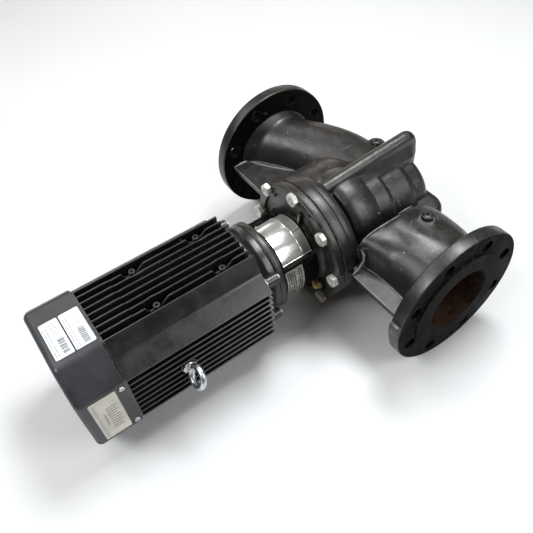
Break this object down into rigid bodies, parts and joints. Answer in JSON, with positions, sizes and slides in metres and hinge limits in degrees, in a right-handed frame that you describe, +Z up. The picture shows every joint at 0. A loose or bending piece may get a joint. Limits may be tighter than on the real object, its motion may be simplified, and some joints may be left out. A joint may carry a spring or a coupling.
{
  "type": "inline circulator pump",
  "caption": "Inline circulator pump with a cast volute housing, two pipe flanges in line, a stool with coupling guards and a finned fan-cooled motor.",
  "frame": {"origin": "on the floor under the middle of the part's box", "axes": "+X along the motor's axis from the fan cover towards the pump, +Y along the pipe's axis from the near flange to the far flange, +Z up as the pump lies on its flange rims"},
  "size_m": [0.6166, 0.45, 0.22],
  "materials": {
    "black_casting": "satin black paint over cast iron",
    "motor_paint": "satin black paint",
    "cover_paint": "satin dark grey paint",
    "polished_stainless": "polished stainless sheet",
    "turned_steel": "turned",
    "zinc_plate": "zinc plated",
    "brass": "dull",
    "black_plastic": "moulded",
    "gasket_fibre": "matt fibre sheet",
    "plate_metal": "bare plate",
    "label_white": "plain sticker",
    "label_beige": "plain sticker"
  },
  "bodies": {
    "root": {"pump_housing": "black_casting", "housing_gasket": "gasket_fibre", "motor_stool": "black_casting", "upper_coupling_guard": "polished_stainless", "lower_coupling_guard": "polished_stainless", "pump_shaft": "turned_steel", "shaft_coupling": "turned_steel", "nameplate": "plate_metal", "vent_plug": "brass", "outlet_tapping_plug": "black_casting", "inlet_tapping_plug": "black_casting", "drive_end_shield": "motor_paint", "stator_housing": "motor_paint", "lifting_eyebolt": "zinc_plate", "fan_end_shield": "motor_paint", "fan_shaft": "turned_steel", "cooling_fan": "black_plastic", "fan_cover": "cover_paint", "terminal_box": "motor_paint", "terminal_box_lid": "motor_paint", "cable_gland": "black_plastic", "entry_plug": "black_plastic", "upper_label_back": "label_white", "upper_label_front": "label_white", "side_label": "label_beige"}
  },
  "joints": []
}
